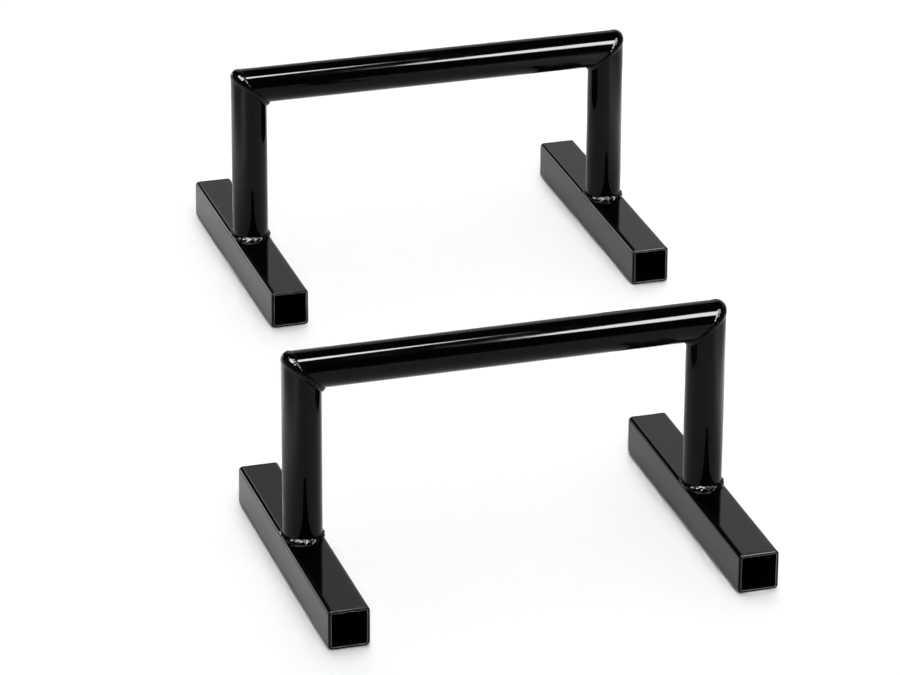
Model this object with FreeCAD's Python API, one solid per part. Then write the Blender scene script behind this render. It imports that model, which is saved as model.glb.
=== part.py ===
"""A pair of welded steel parallette bars: round grip and uprights on square-tube feet.

Millimetres, +Z up. The origin is on the floor, in the middle of the pair. Each bar's grip runs
along X and its feet run along Y. The front bar stands at -Y and the rear bar at +Y.
"""
import FreeCAD, Part
import math
import os

# Frame of one bar
GRIP_SPAN = 400.0          # upright centre to upright centre
BAR_HEIGHT = 230.0         # floor to the top of the grip
TUBE_OD = 38.0             # round tube of the grip and uprights
TUBE_WALL = 2.5
FOOT_SIDE = 40.0           # square tube of the feet
FOOT_WALL = 3.0
FOOT_CORNER_R = 4.0        # outer corner radius of the square tube
FOOT_BORE_R = 1.0          # inner corner radius of the square tube
FOOT_LENGTH = 320.0

# Weld round each mitre: how far it runs along the tubes, and how proud it stands
MITRE_OUTER_LEG = 7.5      # over the dressed outer corner
MITRE_INNER_LEG = 4.0      # in the inner corner
MITRE_DRESSING = 0.9       # 1 would blend the outer corner tangent to both tubes
MITRE_SIDE_CROWN = 0.5
MITRE_INNER_CROWN = 0.4

# Fillet weld round the bottom of each upright
BASE_LEG = 3.6             # along the foot
BASE_RISE = 4.4            # up the tube
BASE_CROWN = 0.6           # how proud the bead stands of a flat fillet
BASE_LIP = 2.8             # depth to which the bead laps over the foot's rounded edges
BASE_RIPPLES = 32          # flats round the bead

# How the pair stands
PAIR_SHIFT = 140.0         # rear bar to the right of the front one
PAIR_SPACING = 710.0       # grip to grip

TUBE_R = TUBE_OD / 2
BORE_R = TUBE_R - TUBE_WALL
GRIP_Z = BAR_HEIGHT - TUBE_R

V = FreeCAD.Vector
X_AXIS = V(1, 0, 0)
Z_AXIS = V(0, 0, 1)


def rounded_bar(side, corner_r, length):
    """A square bar along Y, standing on the floor, with its four long edges rounded."""
    block = Part.makeBox(side, length, side, V(-side / 2, -length / 2, 0))
    long_edges = [e for e in block.Edges if abs(e.tangentAt(e.FirstParameter).y) > 0.9]
    return block.makeFillet(corner_r, long_edges)


def foot_outside(side):
    """The foot's outer form, under the left (-1) or right (+1) upright."""
    bar = rounded_bar(FOOT_SIDE, FOOT_CORNER_R, FOOT_LENGTH)
    bar.translate(X_AXIS * (side * GRIP_SPAN / 2))
    return bar


def foot(side):
    """Square tube, open at both ends."""
    bore = rounded_bar(FOOT_SIDE - 2 * FOOT_WALL, FOOT_BORE_R, FOOT_LENGTH)
    bore.translate(V(side * GRIP_SPAN / 2, 0, FOOT_WALL))
    return foot_outside(side).cut(bore)


def upright_axis(side):
    """Point on the axis of the left (-1) or right (+1) upright, inside the foot's rounded edge."""
    return V(side * GRIP_SPAN / 2, 0, FOOT_SIDE - FOOT_CORNER_R)


def upright_bar(side, radius):
    """Round bar on the upright's axis, up to the top of the grip."""
    start = upright_axis(side)
    return Part.makeCylinder(radius, BAR_HEIGHT - start.z, start, Z_AXIS)


def grip_bar(radius):
    """Round bar on the grip's axis, out to the outer sides of the uprights."""
    length = GRIP_SPAN + TUBE_OD
    return Part.makeCylinder(radius, length, V(-length / 2, 0, GRIP_Z), X_AXIS)


def corner_point(side, out, up, y=0.0):
    """Point seen from the crossing of the grip's and an upright's axes: out from the bar's middle, and up."""
    return V(side * (GRIP_SPAN / 2 + out), y, GRIP_Z + up)


def beyond_cut(side, outer_leg, inner_leg, of_grip):
    """Block past the sloping end of a tube.

    The cut runs from one leg short of the mitre on the outer side to one leg short of it on the inner side,
    where the mitre itself is the 45 degree line through the crossing of the axes.
    """
    reach = 2 * TUBE_OD
    slope = 1 - (outer_leg - inner_leg) / TUBE_OD
    middle = -(outer_leg + inner_leg) / 2
    near = [(-reach, middle - slope * reach), (reach, middle + slope * reach)]
    outline = near + [(reach, 3 * reach), (-reach, 3 * reach)]
    if of_grip:
        outline = [(along, across) for across, along in outline]
    corners = [corner_point(side, out, up) for out, up in outline]
    face = Part.Face(Part.makePolygon(corners + corners[:1]))
    face.translate(V(0, -reach, 0))
    return face.extrude(V(0, 2 * reach, 0))


def upright(side):
    """Upright, saddle-cut to its foot and cut back from the mitre for the weld."""
    blank = upright_bar(side, TUBE_R).cut(upright_bar(side, BORE_R)).cut(foot_outside(side))
    return blank.cut(beyond_cut(side, MITRE_OUTER_LEG, MITRE_INNER_LEG, False))


def grip_tube():
    """Grip, cut back from the mitre for the weld at both ends."""
    blank = grip_bar(TUBE_R).cut(grip_bar(BORE_R))
    for side in (-1, 1):
        blank = blank.cut(beyond_cut(side, MITRE_OUTER_LEG, MITRE_INNER_LEG, True))
    return blank


def ellipse(centre, major_end, minor_end):
    return Part.Wire(Part.Ellipse(major_end, minor_end, centre).toShape())


def mitre_bore(side):
    """Bore of the two tubes where they meet at the mitre."""
    up = upright_bar(side, BORE_R).cut(beyond_cut(side, 0, 0, False))
    along = grip_bar(BORE_R).cut(beyond_cut(side, 0, 0, True))
    return up.fuse(along)


def mitre_weld(side):
    """Weld run round a mitre: lofted from the upright's end through a crown ring to the grip's end."""
    slope = 1 - (MITRE_OUTER_LEG - MITRE_INNER_LEG) / TUBE_OD
    middle = -(MITRE_OUTER_LEG + MITRE_INNER_LEG) / 2
    on_upright = ellipse(
        corner_point(side, 0, middle),
        corner_point(side, TUBE_R, middle + slope * TUBE_R),
        corner_point(side, 0, middle, TUBE_R),
    )
    on_grip = ellipse(
        corner_point(side, middle, 0),
        corner_point(side, middle + slope * TUBE_R, TUBE_R),
        corner_point(side, middle, 0, TUBE_R),
    )
    # The crown ring lies in the mitre, so out and up are equal there
    outer = TUBE_R - MITRE_OUTER_LEG / 2 + MITRE_DRESSING * MITRE_OUTER_LEG / 4
    inner = -TUBE_R - MITRE_INNER_LEG / 2 - MITRE_INNER_CROWN / math.sqrt(2)
    centre = (outer + inner) / 2
    crown = ellipse(
        corner_point(side, centre, centre),
        corner_point(side, outer, outer),
        corner_point(side, centre, centre, TUBE_R + MITRE_SIDE_CROWN),
    )
    return Part.makeLoft([on_upright, crown, on_grip], True, True).cut(mitre_bore(side))


def base_weld(side):
    """Fillet weld round the bottom of an upright: a bead of flat ripples that laps over the foot's edges."""
    face_length = math.hypot(BASE_LEG, BASE_RISE)
    crown_radius = TUBE_R + BASE_LEG / 2 + BASE_CROWN * BASE_RISE / face_length
    crown_height = BASE_RISE / 2 + BASE_CROWN * BASE_LEG / face_length
    # Radius, and height above the foot, from the toe on the tube round to the lip below it
    section = [(TUBE_R, BASE_RISE), (crown_radius, crown_height), (TUBE_R + BASE_LEG, 0), (TUBE_R, -BASE_LIP)]
    ripple_turn = 2 * math.pi / BASE_RIPPLES
    reach = 1 / math.cos(ripple_turn / 2)      # the corners lie this much further out than the flats

    def corner(point, ripple):
        radius, height = point
        out = V(math.cos(ripple * ripple_turn), math.sin(ripple * ripple_turn), 0)
        return V(side * GRIP_SPAN / 2, 0, FOOT_SIDE + height) + out * (reach * radius)

    flats = []
    for ripple in range(BASE_RIPPLES):
        for upper, lower in zip(section, section[1:] + section[:1]):
            edge = [corner(upper, ripple), corner(lower, ripple)]
            next_edge = [corner(lower, ripple + 1), corner(upper, ripple + 1)]
            flats.append(Part.Face(Part.makePolygon(edge + next_edge + edge[:1])))
    return Part.Solid(Part.Shell(flats)).cut(foot_outside(side))


def one_bar():
    """Every piece of one bar, standing on the floor about its own middle."""
    pieces = {"grip_tube": grip_tube()}
    for name, side in (("left", -1), ("right", 1)):
        pieces[name + "_upright"] = upright(side)
        pieces[name + "_mitre_weld"] = mitre_weld(side)
        pieces[name + "_foot"] = foot(side)
        pieces[name + "_base_weld"] = base_weld(side)
    return pieces


os.makedirs("parts", exist_ok=True)
bar = one_bar()
for place, sign in (("front", -1), ("rear", 1)):
    offset = V(sign * PAIR_SHIFT / 2, sign * PAIR_SPACING / 2, 0)
    for name, shape in bar.items():
        placed = shape.copy()
        placed.translate(offset)
        placed.exportStep("parts/%s_%s.step" % (place, name))
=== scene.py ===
"""Looks of a pair of welded parallette bars in gloss black enamel, on a white studio floor.

Metres, +Z up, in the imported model's own frame. Every piece of the bars is a closed skin on a grid, which
runs round the piece one way and over its wall the other way, so each one is a ring of rings.
"""
import math

import bpy
import numpy as np
from mathutils import Matrix, Vector


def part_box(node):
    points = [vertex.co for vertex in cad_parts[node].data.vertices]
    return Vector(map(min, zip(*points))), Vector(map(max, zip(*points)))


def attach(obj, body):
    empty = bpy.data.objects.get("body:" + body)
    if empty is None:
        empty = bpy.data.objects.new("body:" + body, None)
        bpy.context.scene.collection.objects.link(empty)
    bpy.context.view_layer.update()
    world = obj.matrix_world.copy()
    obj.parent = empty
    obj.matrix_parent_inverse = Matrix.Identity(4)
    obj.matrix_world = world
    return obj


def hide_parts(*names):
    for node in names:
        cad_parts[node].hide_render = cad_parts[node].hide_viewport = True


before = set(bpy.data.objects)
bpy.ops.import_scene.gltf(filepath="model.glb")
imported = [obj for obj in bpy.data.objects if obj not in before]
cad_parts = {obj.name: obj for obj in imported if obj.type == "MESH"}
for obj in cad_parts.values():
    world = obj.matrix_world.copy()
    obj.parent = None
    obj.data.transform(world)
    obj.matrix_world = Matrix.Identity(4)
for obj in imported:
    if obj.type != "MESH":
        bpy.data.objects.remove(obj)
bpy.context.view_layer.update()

MM = 0.001

# Sections of the two tubes, in metres
TUBE_WALL = 2.5 * MM
FOOT_WALL = 3.0 * MM
FOOT_CORNER = 4.0 * MM         # outer corner radius of the square tube
FOOT_BORE_CORNER = 1.0 * MM
RIM_OUTER = 2.0 * MM           # rounding of the sawn ends under the paint
RIM_INNER = 0.4 * MM

# Weld round each mitre, as lengths along the tubes from the mitre line
MITRE_OUTER = 10.5 * MM        # over the dressed outer corner
MITRE_SIDE = 4.2 * MM          # at the sides and in the inner corner
MITRE_CROWN = 1.7 * MM         # how proud the bead stands at the sides
MITRE_ROOT = 2.0 * MM          # how far the root stands inside the bore
MITRE_RIPPLE = 0.3 * MM
MITRE_RIPPLES = 34

# Fillet weld round the bottom of each upright
BASE_RISE = 4.0 * MM           # up the tube
BASE_LEG = 3.6 * MM            # out along the foot, in front and behind
BASE_EDGE = 0.2 * MM           # how far inside the foot's side the bead ends
BASE_CROWN = 0.55 * MM
BASE_SIDE_CROWN = 2.1 * MM     # the bead bulges over the foot's rounded edges
BASE_RIPPLE = 0.7 * MM
BASE_RIPPLES = 19
BASE_LEG_UNEVEN = 0.35 * MM    # how far the toe on the foot wanders
BASE_RISE_UNEVEN = 0.3 * MM    # how far the toe on the tube wanders

# Hand of the welder, alike on every bead
DRESSED_CROWN = 0.4            # share of a mitre's crown that is left on the dressed outer corner
DRESSED_RIPPLE = 0.25          # share of its ripples that is left there
RIPPLE_TRAIL = 0.9             # how far the ripples trail back at the toes, in radians
RIPPLE_DRIFT = 0.8             # how far their pitch drifts, in radians
MITRE_SEED = 20                # where the random draws of each kind of weld start
BASE_SEED = 120
TUBE_TOE_SEED = 50             # added to a base weld's own for its toe on the tube

# Grids: steps round a tube, a weld and a quarter of each rounded edge, and rows along or across each skin
TUBE_STEPS = 160
WELD_STEPS = 480
CORNER_STEPS = 10
RIM_STEPS = 7
SKIN_ROWS = 25
BORE_ROWS = 9
MITRE_ROWS = 41
BASE_ROWS = 25

# The photograph's camera: focal length in pixels of a frame 900 wide, place, and aim in degrees
FRAME_WIDTH = 900
FOCAL_PIXELS = 4960.3
CAMERA_PLACE = Vector((-1.3818, -4.3946, 2.1396))
CAMERA_AZIMUTH = 17.277        # to the right of +Y
CAMERA_DOWN = 24.3445
CAMERA_ROLL = 0.338
SENSOR = 36.0

ENAMEL_INDEX = 1.2             # low, for a thin skin that mirrors the white floor only faintly
FLOOR_GLOW = (0.02, 0.25)      # added to the floor's white: near the bars, and far out, where lamps fade
FLOOR_FADE = (1.1, 2.4)        # metres from the middle between which the glow grows

# Room seen in the enamel: bearings to the right of +Y, heights, soft edge in degrees, and strength
ROOM_DARK = 0.003
SCREENS = (
    ((3, 70), (0, 35), 3, 0.85),        # pale wall behind, to the right
    ((21, 70), (0, 35), 4, 0.3),        # its brighter half
    ((-3, 12), (20, 36), 1.5, 1.3),     # its bright edge
    ((-30, -14), (0, 6), 2, 7.5),       # low bright strip behind, to the left
    ((-180, 180), (-90, -1), 1, 1.1),   # the white floor, going on past its edge
    ((-120, -60), (0, 35), 8, 0.24),    # dim screens that fill in the other sides
    ((95, 130), (0, 35), 8, 0.24),
)

# Lamps. The soft boxes' places and sizes are shares of the lamps' height, with their turn in degrees
LAMP_HEIGHT = 9.2
KEY_PLACE = (0.9, 0)           # a little to the right, so that the shadows lie on the left
KEY_SIZE = (5.9, 30.0)
KEY_RADIANCE = 3.45
WASH_PLACES = ((-0.58, -0.3), (0.44, -0.3), (-0.44, 0.4), (0.58, 0.4))
WASH_HEIGHT = 0.15
WASH_SIZE = (0.1, 0.9)
WASH_RADIANCE = 3.3
WASH_SPREAD = 110              # degrees, so that the dark lines along the feet stay
LINE_RADIANCE = 87.0           # of the soft boxes
SOFT_BOXES = (
    ("soft_box_over", (0.130, -0.207), (0.25, 0.215), "RECTANGLE", -13.7),
    ("soft_box_ahead", (0.454, -0.61), (0.23, 0.63), "ELLIPSE", 0),
    ("soft_box_left", (-0.45, -0.3), (0.7, 0.8), "ELLIPSE", 0),
)

BARS = ("front", "rear")
HANDS = (("left", -1), ("right", 1))
SKIN, BORE, RIM = range(3)     # finishes of a piece, by number


def srgb(code):
    """Linear colour, with alpha, of a hex code such as #0a0b0c."""
    parts = [int(code[k:k + 2], 16) / 255 for k in (1, 3, 5)]
    linear = [c / 12.92 if c <= 0.04045 else ((c + 0.055) / 1.055) ** 2.4 for c in parts]
    return (*linear, 1.0)


def add(tree, kind, inputs=None, **settings):
    """Adds a node, sets its properties, and fills or links its inputs."""
    node = tree.nodes.new(kind)
    for name, value in settings.items():
        setattr(node, name, value)
    for name, value in (inputs or {}).items():
        if isinstance(value, bpy.types.NodeSocket):
            tree.links.new(value, node.inputs[name])
        else:
            node.inputs[name].default_value = value
    return node


def new_material(name):
    """Empty node material, and its tree."""
    material = bpy.data.materials.new(name)
    material.use_nodes = True
    material.node_tree.nodes.clear()
    return material, material.node_tree


def gloss_enamel(name, peel_mm, peel_depth_mm, smooth, dull):
    """Baked gloss black enamel, sprayed over steel: a black body under a clear skin that mirrors the room.

    The skin has a faint orange peel, and patches that are a little duller where it was handled.
    """
    material, tree = new_material(name)
    handled_mm = 45
    place = add(tree, "ShaderNodeTexCoord").outputs["Object"]
    peel = add(tree, "ShaderNodeTexNoise", {"Vector": place, "Scale": 1 / (peel_mm * MM), "Detail": 1.0})
    bump = add(tree, "ShaderNodeBump", {"Height": peel.outputs["Fac"], "Distance": peel_depth_mm * MM})
    patch = add(tree, "ShaderNodeTexNoise", {
        "Vector": place, "Scale": 1 / (handled_mm * MM), "Detail": 3.0})
    rough = add(tree, "ShaderNodeMapRange", {
        "Value": patch.outputs["Fac"], "From Min": 0.4, "From Max": 0.7, "To Min": smooth, "To Max": dull})
    shader = add(tree, "ShaderNodeBsdfPrincipled", {
        "Base Color": srgb("#040404"), "Roughness": rough.outputs["Result"], "IOR": ENAMEL_INDEX,
        "Normal": bump.outputs["Normal"]})
    add(tree, "ShaderNodeOutputMaterial", {"Surface": shader.outputs["BSDF"]})
    return material


def overspray_and_painted_sheen(name, dark, pale, rough, shine):
    """Thin, dusty paint: black and matt in a bore, which stays dark. On a sawn rim its grey is a painted
    highlight, standing in for the light that the glossy black end ring catches.
    """
    material, tree = new_material(name)
    dust_mm = 0.8    # coarser than real dust, so that it shows
    place = add(tree, "ShaderNodeTexCoord").outputs["Object"]
    dust = add(tree, "ShaderNodeTexNoise", {"Vector": place, "Scale": 1 / (dust_mm * MM), "Detail": 2.0})
    tint = add(tree, "ShaderNodeValToRGB", {"Fac": dust.outputs["Fac"]})
    tint.color_ramp.elements[0].color = srgb(dark)
    tint.color_ramp.elements[1].color = srgb(pale)
    shader = add(tree, "ShaderNodeBsdfPrincipled", {
        "Base Color": tint.outputs["Color"], "Roughness": rough, "IOR": ENAMEL_INDEX,
        "Specular IOR Level": shine})
    add(tree, "ShaderNodeOutputMaterial", {"Surface": shader.outputs["BSDF"]})
    return material


def skin(name, points, finish, materials, sharp_degrees=40):
    """Closed mesh on a grid of points, whose last row and column join on to the first.

    finish gives, for the band of faces from each row to the next, the number of its material.
    """
    rows, columns = points.shape[:2]
    here = np.arange(rows * columns).reshape(rows, columns)
    beside = np.roll(here, -1, axis=1)
    above, past = np.roll(here, -1, axis=0), np.roll(beside, -1, axis=0)
    quads = np.stack([here, beside, past, above], axis=-1).reshape(-1, 4)
    flat = points.reshape(-1, 3)
    a, b, c, d = (flat[quads[:, k]] for k in range(4))
    volume = (np.cross(a, b) * c).sum() + (np.cross(a, c) * d).sum()
    if volume < 0:
        quads = quads[:, ::-1]
    mesh = bpy.data.meshes.new(name)
    mesh.vertices.add(len(flat))
    mesh.vertices.foreach_set("co", flat.astype(np.float32).ravel())
    mesh.loops.add(quads.size)
    mesh.loops.foreach_set("vertex_index", quads.astype(np.int32).ravel())
    mesh.polygons.add(len(quads))
    mesh.polygons.foreach_set("loop_start", np.arange(0, quads.size, 4, dtype=np.int32))
    mesh.polygons.foreach_set("material_index", np.repeat(finish, columns).astype(np.int32))
    mesh.polygons.foreach_set("use_smooth", np.ones(len(quads), bool))
    mesh.update(calc_edges=True)
    mesh.validate()
    mesh.set_sharp_from_angle(angle=math.radians(sharp_degrees))
    for material in materials:
        mesh.materials.append(material)
    piece = bpy.data.objects.new(name, mesh)
    bpy.context.scene.collection.objects.link(piece)
    return piece


def stand_for(piece, node, slot):
    """The piece rides on the only body and stands for its node, which it hides. The slot is not used."""
    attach(piece, "root")
    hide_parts(node)


def turn(count):
    """Angles of a full turn, as a row, with the first not repeated."""
    return np.linspace(0, 2 * np.pi, count, endpoint=False)


def stack(*axes):
    """Points from their x, y and z, spread to one common shape."""
    return np.stack(np.broadcast_arrays(*axes), axis=-1)


def wander(angle, seed, waves=(3, 5, 8, 13)):
    """Slow unevenness of handwork round a turn, within about 1: a sum of sines with seeded phases."""
    phases = np.random.default_rng(seed).uniform(0, 2 * np.pi, len(waves))
    return sum(np.sin(n * angle + p) / (k + 1) for k, (n, p) in enumerate(zip(waves, phases))) / 2


def ripple(angle, across, count, seed):
    """Crescent ripples of a weld run: rounded steps round the turn that trail back towards both toes.

    The ripple's phase is half of count times the angle, plus a square term in the place across the bead
    and a slow drift. Each step is a half sine, so the valleys between the crests are sharp.
    """
    phase = count * angle / 2 + RIPPLE_TRAIL * across ** 2 + RIPPLE_DRIFT * wander(angle, seed)
    return np.abs(np.sin(phase)) - 2 / np.pi


class Bar:
    """Where one bar's tubes lie, read from its nodes."""

    def __init__(self, place):
        low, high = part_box(place + "_grip_tube")
        self.y = (low.y + high.y) / 2
        self.grip_z = (low.z + high.z) / 2
        self.tube_r = (high.z - low.z) / 2
        self.bore_r = self.tube_r - TUBE_WALL
        self.upright_x = {}
        for hand, side in HANDS:
            low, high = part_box("%s_%s_foot" % (place, hand))
            self.upright_x[side] = (low.x + high.x) / 2
            self.foot_side = high.z - low.z
            self.foot_length = high.y - low.y


def mitre_leg(angle):
    """Length of the weld along each tube from the mitre, by the angle round from the outer corner.

    It swells over the outer corner with the cosine to the power 1.5, and keeps the side's leg elsewhere.
    """
    outer = np.clip(np.cos(angle), 0, None) ** 1.5
    return MITRE_SIDE + (MITRE_OUTER - MITRE_SIDE) * outer


def foot_top(bar, x):
    """Height of the foot's outside at x from its middle: flat, then a quarter circle down at each edge."""
    past = np.clip(np.abs(x) - (bar.foot_side / 2 - FOOT_CORNER), 0, FOOT_CORNER)
    return bar.foot_side - FOOT_CORNER + np.sqrt(FOOT_CORNER ** 2 - past ** 2)


def grip_skin(bar):
    """Grip: a circle carried along X over the skin, and back through the bore.

    It ends short of both mitres by the weld's leg: at angle t, half the span plus r cos t less the leg.
    """
    angle = turn(TUBE_STEPS)
    leg = mitre_leg(angle)
    middle = (bar.upright_x[-1] + bar.upright_x[1]) / 2
    half_span = (bar.upright_x[1] - bar.upright_x[-1]) / 2
    outside = bar.tube_r, np.linspace(-1, 1, SKIN_ROWS)
    inside = bar.bore_r, np.linspace(1, -1, BORE_ROWS)
    rows = []
    for radius, shares in (outside, inside):
        reach = half_span + radius * np.cos(angle) - leg
        x = middle + shares[:, None] * reach
        rows.append(stack(x, bar.y + radius * np.sin(angle), bar.grip_z + radius * np.cos(angle)))
    return np.concatenate(rows), [SKIN] * SKIN_ROWS + [BORE] * BORE_ROWS


def upright_skin(bar, side):
    """Upright: a circle carried along Z over the skin, and back through the bore.

    It starts on the foot's outside and ends short of the mitre by the weld's leg: at angle t, the grip's
    height plus r cos t less the leg.
    """
    angle = turn(TUBE_STEPS)
    leg = mitre_leg(angle)
    outside = bar.tube_r, np.linspace(0, 1, SKIN_ROWS)
    inside = bar.bore_r, np.linspace(1, 0, BORE_ROWS)
    rows = []
    for radius, shares in (outside, inside):
        out = radius * np.cos(angle)
        bottom = foot_top(bar, out)
        top = bar.grip_z + out - leg
        z = bottom + shares[:, None] * (top - bottom)
        rows.append(stack(bar.upright_x[side] + side * out, bar.y + radius * np.sin(angle), z))
    return np.concatenate(rows), [SKIN] * SKIN_ROWS + [BORE] * BORE_ROWS


def mitre_bead(bar, side, seed):
    """Weld round a mitre, closed through the tubes' ends and the root.

    Round it, the mitre line is at r cos t both out and up, and at r sin t along Y. Across it, a quadratic
    curve leaves the upright's skin at one toe, bends towards the mitre line and lands on the grip's skin
    at the other toe. Crown and ripples are added square to it, times 1 - a^4, with a from -1 to 1 across.
    Both are lower over the dressed outer corner, and the ripples are higher in the inner one.
    """
    angle = turn(WELD_STEPS)[None, :]
    share = np.linspace(0, 1, MITRE_ROWS)[:, None]
    leg = mitre_leg(angle)
    out, depth = bar.tube_r * np.cos(angle), bar.tube_r * np.sin(angle)
    mitre = stack(out, out, depth)
    on_upright = mitre - stack(0 * leg, leg, 0 * leg)
    on_grip = mitre - stack(leg, 0 * leg, 0 * leg)
    s = share[..., None]
    curve = on_upright * (1 - s) ** 2 + mitre * (2 * s * (1 - s)) + on_grip * s ** 2
    along = (mitre - on_upright) * (1 - s) + (on_grip - mitre) * s
    rounding = np.gradient(curve, axis=1)
    rounding[:, 0] = curve[:, 1] - curve[:, -1]
    rounding[:, -1] = curve[:, 0] - curve[:, -2]
    square = np.cross(along, rounding)
    square /= np.linalg.norm(square, axis=-1, keepdims=True)
    outward = stack(np.cos(angle), np.cos(angle), np.sin(angle))
    square *= np.sign((square * outward).sum(-1, keepdims=True))
    across = 2 * share - 1
    dressed = np.clip(np.cos(angle), 0, None)
    coarse = 1 - (1 - DRESSED_RIPPLE) * dressed + np.clip(-np.cos(angle), 0, None)
    crown = MITRE_CROWN * (1 - (1 - DRESSED_CROWN) * dressed)
    height = crown + MITRE_RIPPLE * coarse * ripple(angle, across, MITRE_RIPPLES, seed)
    curve = curve + square * (height * (1 - across ** 4))[..., None]
    bore_out, bore_depth = bar.bore_r * np.cos(angle), bar.bore_r * np.sin(angle)
    root = stack(bore_out, bore_out, bore_depth) * (1 - MITRE_ROOT / bar.bore_r)
    in_grip = stack(bore_out - leg, bore_out, bore_depth)
    in_upright = stack(bore_out, bore_out - leg, bore_depth)
    local = np.concatenate([curve, in_grip, root, in_upright])
    x = bar.upright_x[side] + side * local[..., 0]
    finish = [SKIN] * MITRE_ROWS + [BORE] * (len(local) - MITRE_ROWS)
    return stack(x, bar.y + local[..., 2], bar.grip_z + local[..., 1]), finish


def base_bead(bar, side, seed):
    """Fillet weld round the bottom of an upright.

    Across it, a straight line runs from the toe on the tube to the toe on the foot, and bulges by the
    crown and the ripples times 1 - a^2, with a from -1 to 1 across. The crown grows to the foot's sides
    with the cosine to the power 4. The toe on the foot keeps one leg from the tube, but stays inside the
    foot's sides: its reach is (leg^-10 + side^-10)^(-1/10).
    """
    angle = turn(WELD_STEPS)[None, :]
    share = np.linspace(0, 1, BASE_ROWS)[:, None]
    to_side = np.abs(np.cos(angle))
    leg_reach = bar.tube_r + BASE_LEG + BASE_LEG_UNEVEN * wander(angle, seed)
    per_side_reach = to_side / (bar.foot_side / 2 - BASE_EDGE)
    sharpness = 10
    foot_reach = (leg_reach ** -sharpness + per_side_reach ** sharpness) ** (-1 / sharpness)
    foot_z = foot_top(bar, foot_reach * to_side)
    tube_z = bar.foot_side + BASE_RISE + BASE_RISE_UNEVEN * wander(angle, seed + TUBE_TOE_SEED)
    chord_r, chord_z = foot_reach - bar.tube_r, foot_z - tube_z
    length = np.hypot(chord_r, chord_z)
    out_r, out_z = -chord_z / length, chord_r / length
    crown = BASE_CROWN + (BASE_SIDE_CROWN - BASE_CROWN) * to_side ** 4
    across = 2 * share - 1
    bulge = (crown + BASE_RIPPLE * ripple(angle, across, BASE_RIPPLES, seed)) * (1 - across ** 2)
    radius = bar.tube_r + share * chord_r + bulge * out_r
    z = tube_z + share * chord_z + bulge * out_z
    sunk = 1.0 * MM
    inner = np.full_like(foot_reach, bar.tube_r - sunk)
    radius = np.concatenate([radius, foot_reach - sunk, inner, inner])
    z = np.concatenate([z, foot_z - sunk, foot_z - sunk, tube_z - sunk])
    x = bar.upright_x[side] + radius * np.cos(angle)
    return stack(x, bar.y + radius * np.sin(angle), z), [SKIN] * len(z)


def square_outline(half, corner, flat_hold=0.15 * MM):
    """Rounded square: a quarter circle at each corner, held flat for a little beside each arc."""
    bend = np.radians(np.linspace(0, 90, CORNER_STEPS))
    x = np.concatenate([[half], half - corner + corner * np.cos(bend), [half - corner - flat_hold]])
    z = np.concatenate([[half - corner - flat_hold], half - corner + corner * np.sin(bend), [half]])
    quarter = x + 1j * z
    loop = np.concatenate([quarter * 1j ** k for k in range(4)])
    return loop.real, loop.imag


def foot_skin(bar, side):
    """Square tube: its outline carried along Y over the outside, round the sawn rim and back by the bore.

    The rim's edges are quarter circles. Between outside and bore the outline moves straight over the wall.
    """
    half, half_length = bar.foot_side / 2, bar.foot_length / 2
    out_x, out_z = square_outline(half, FOOT_CORNER)
    bore_x, bore_z = square_outline(half - FOOT_WALL, FOOT_BORE_CORNER)
    bend = np.radians(np.linspace(0, 90, RIM_STEPS))
    hold = 0.2 * MM
    depth = np.concatenate([
        [0], RIM_OUTER * (1 - np.cos(bend)), [RIM_OUTER + hold],
        [FOOT_WALL - RIM_INNER - hold], FOOT_WALL - RIM_INNER * (1 - np.sin(bend)), [FOOT_WALL]])
    y = half_length - np.concatenate([
        [RIM_OUTER + hold], RIM_OUTER * (1 - np.sin(bend)), [0],
        [0], RIM_INNER * (1 - np.cos(bend)), [RIM_INNER + hold]])
    depth = np.concatenate([depth, depth[::-1]])[:, None] / FOOT_WALL
    y = np.concatenate([y, -y[::-1]])[:, None]
    x = bar.upright_x[side] + out_x + depth * (bore_x - out_x)
    z = half + out_z + depth * (bore_z - out_z)
    outer, inner = [SKIN] * (len(bend) + 1), [RIM] * (len(bend) + 2)
    return stack(x, bar.y + y, z), outer + inner + [BORE] + inner + outer + [SKIN]


def build_bars():
    """Every piece of both bars, each standing for its node."""
    tube = gloss_enamel(
        "gloss_black_enamel_on_tube", peel_mm=2.2, peel_depth_mm=0.0015, smooth=0.04, dull=0.08)
    weld = gloss_enamel(
        "gloss_black_enamel_on_weld", peel_mm=1.2, peel_depth_mm=0.006, smooth=0.05, dull=0.1)
    bore = overspray_and_painted_sheen(
        "dry_overspray_in_bore", dark="#020202", pale="#060606", rough=0.9, shine=0.0)
    # The rim's grey is a painted highlight for the light that the glossy black end ring catches.
    rim = overspray_and_painted_sheen(
        "painted_sheen_on_sawn_rim", dark="#505050", pale="#686868", rough=0.35, shine=0.5)
    finishes = (tube, bore, rim)
    weld_finishes = (weld, bore)
    for number, place in enumerate(BARS):
        bar = Bar(place)
        node = place + "_grip_tube"
        stand_for(skin(node + "_skin", *grip_skin(bar), finishes), node, "tube_enamel")
        for hand, side in HANDS:
            seed = 10 * number + side
            made = (
                ("upright", upright_skin(bar, side), finishes, "tube_enamel"),
                ("mitre_weld", mitre_bead(bar, side, MITRE_SEED + seed), weld_finishes, "weld_enamel"),
                ("foot", foot_skin(bar, side), finishes, "tube_enamel"),
                ("base_weld", base_bead(bar, side, BASE_SEED + seed), weld_finishes, "weld_enamel"),
            )
            for name, (points, finish), materials, slot in made:
                node = "%s_%s_%s" % (place, hand, name)
                stand_for(skin(node + "_skin", points, finish, materials), node, slot)


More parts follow.
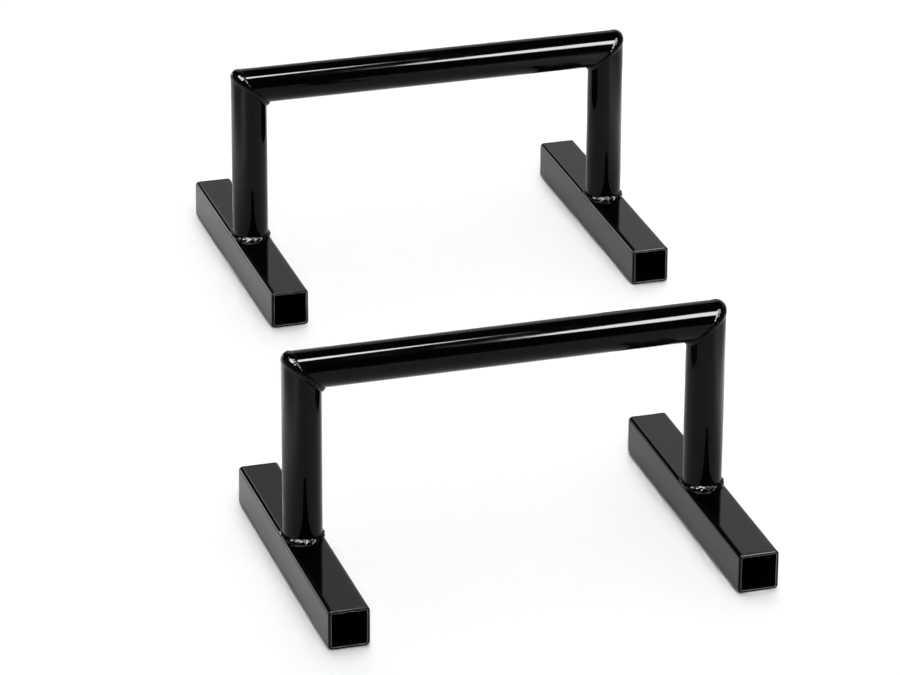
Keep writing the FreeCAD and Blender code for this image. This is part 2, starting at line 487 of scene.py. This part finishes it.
def lay_floor():
    """White floor, just under the feet, with a slight glow that keeps it white out to its edge."""
    reach, drop = 2.5, 0.1 * MM
    mesh = bpy.data.meshes.new("studio_floor")
    corners = [(x * reach, y * reach, -drop) for x, y in ((-1, -1), (1, -1), (1, 1), (-1, 1))]
    mesh.from_pydata(corners, [], [(0, 1, 2, 3)])
    material, tree = new_material("white_studio_floor")
    path = add(tree, "ShaderNodeLightPath")
    mirrored = add(tree, "ShaderNodeMath", {
        0: path.outputs["Is Camera Ray"], 1: path.outputs["Is Glossy Ray"]}, operation="ADD")
    seen = add(tree, "ShaderNodeMath", {
        0: mirrored.outputs[0], 1: path.outputs["Is Transmission Ray"]}, operation="ADD")
    place = add(tree, "ShaderNodeTexCoord").outputs["Object"]
    away = add(tree, "ShaderNodeVectorMath", {0: place}, operation="LENGTH")
    near, far = FLOOR_FADE
    level = add(tree, "ShaderNodeMapRange", {
        "Value": away.outputs["Value"], "From Min": near, "From Max": far,
        "To Min": FLOOR_GLOW[0], "To Max": FLOOR_GLOW[1]})
    glow = add(tree, "ShaderNodeMath", {
        0: seen.outputs[0], 1: level.outputs["Result"]}, operation="MULTIPLY")
    light = add(tree, "ShaderNodeEmission", {"Strength": glow.outputs[0]})
    diffuse = add(tree, "ShaderNodeBsdfDiffuse", {"Color": srgb("#fcfcfc")})
    both = add(tree, "ShaderNodeAddShader", {0: diffuse.outputs["BSDF"], 1: light.outputs["Emission"]})
    add(tree, "ShaderNodeOutputMaterial", {"Surface": both.outputs["Shader"]})
    mesh.materials.append(material)
    floor = bpy.data.objects.new("studio_floor", mesh)
    bpy.context.scene.collection.objects.link(floor)


def window(tree, value, start, end, soft):
    """1 while value is between start and end, falling to 0 over soft on both sides."""
    sides = []
    for foot, top in ((start - soft, start), (end + soft, end)):
        side = add(tree, "ShaderNodeMapRange", {"Value": value, "From Min": foot, "From Max": top})
        sides.append(side.outputs["Result"])
    return add(tree, "ShaderNodeMath", {0: sides[0], 1: sides[1]}, operation="MULTIPLY").outputs[0]


def dress_room():
    """The room above the floor: white to the camera, and to the enamel a dark studio with pale screens."""
    world = bpy.data.worlds.new("studio_room")
    bpy.context.scene.world = world
    world.use_nodes = True
    tree = world.node_tree
    tree.nodes.clear()
    aim = add(tree, "ShaderNodeSeparateXYZ", {0: add(tree, "ShaderNodeTexCoord").outputs["Generated"]})
    turned = add(tree, "ShaderNodeMath", {0: aim.outputs["X"], 1: aim.outputs["Y"]}, operation="ARCTAN2")
    raised = add(tree, "ShaderNodeMath", {0: aim.outputs["Z"]}, operation="ARCSINE")
    bearing, height = turned.outputs[0], raised.outputs[0]
    level = ROOM_DARK
    for (left, right), (bottom, top), soft, strength in SCREENS:
        across = window(tree, bearing, math.radians(left), math.radians(right), math.radians(soft))
        up = window(tree, height, math.radians(bottom), math.radians(top), math.radians(soft))
        patch = add(tree, "ShaderNodeMath", {0: across, 1: up}, operation="MULTIPLY").outputs[0]
        screen = add(tree, "ShaderNodeMath", {0: patch, 1: strength, 2: level}, operation="MULTIPLY_ADD")
        level = screen.outputs[0]
    path = add(tree, "ShaderNodeLightPath")
    seen = add(tree, "ShaderNodeMix", {
        "Factor": path.outputs["Is Camera Ray"], "A": level, "B": 1.0}, data_type="FLOAT")
    back = add(tree, "ShaderNodeBackground", {
        "Color": srgb("#ffffff"), "Strength": seen.outputs["Result"]})
    add(tree, "ShaderNodeOutputWorld", {"Surface": back.outputs["Background"]})


def hang_lamp(name, place, size, shape, spin, radiance):
    """Area lamp that faces down, with its power from the radiance of its face."""
    lamp = bpy.data.lights.new(name, "AREA")
    lamp.shape = shape
    lamp.size, lamp.size_y = size
    area = size[0] * size[1] * (math.pi / 4 if shape == "ELLIPSE" else 1)
    lamp.energy = radiance * math.pi * area
    holder = bpy.data.objects.new(name, lamp)
    holder.matrix_world = Matrix.Translation(place) @ Matrix.Rotation(math.radians(spin), 4, "Z")
    holder.visible_camera = False
    bpy.context.scene.collection.objects.link(holder)
    return holder


def hang_lamps():
    """Every lamp.

    A long overhead lamp lights colours and shadows, and low ones wash the floor beside the bars, which the
    enamel mirrors. The high soft boxes only draw the light lines and sparkles.
    """
    lamps = [hang_lamp("overhead_key", (*KEY_PLACE, LAMP_HEIGHT), KEY_SIZE, "RECTANGLE", 0, KEY_RADIANCE)]
    for x, y in WASH_PLACES:
        wash = hang_lamp("floor_wash", (x, y, WASH_HEIGHT), WASH_SIZE, "RECTANGLE", 0, WASH_RADIANCE)
        wash.data.spread = math.radians(WASH_SPREAD)
        lamps.append(wash)
    for lamp in lamps:
        lamp.visible_glossy = False
        lamp.data.cycles.use_multiple_importance_sampling = False
    for name, (x, y), size, shape, spin in SOFT_BOXES:
        place = (x * LAMP_HEIGHT, y * LAMP_HEIGHT, LAMP_HEIGHT)
        box = hang_lamp(name, place, [LAMP_HEIGHT * s for s in size], shape, spin, LINE_RADIANCE)
        box.visible_diffuse = False


def set_camera():
    """The photograph's view: aim by azimuth and downward tilt, then a small roll."""
    azimuth, down, roll = (math.radians(a) for a in (CAMERA_AZIMUTH, CAMERA_DOWN, CAMERA_ROLL))
    ahead = Vector((math.sin(azimuth), math.cos(azimuth), 0))
    forward = ahead * math.cos(down) - Vector((0, 0, math.sin(down)))
    right = Vector((math.cos(azimuth), -math.sin(azimuth), 0))
    up = right.cross(forward)
    rolled_right = right * math.cos(roll) + up * math.sin(roll)
    rolled_up = up * math.cos(roll) - right * math.sin(roll)
    data = bpy.data.cameras.new("photo_camera")
    data.sensor_width = SENSOR
    data.lens = SENSOR * FOCAL_PIXELS / FRAME_WIDTH
    data.clip_end = 100
    camera = bpy.data.objects.new("photo_camera", data)
    turned = Matrix((rolled_right, rolled_up, -forward)).transposed().to_4x4()
    camera.matrix_world = Matrix.Translation(CAMERA_PLACE) @ turned
    bpy.context.scene.collection.objects.link(camera)
    bpy.context.scene.camera = camera


build_bars()
lay_floor()
dress_room()
hang_lamps()
set_camera()
bpy.context.scene.view_settings.view_transform = "Standard"
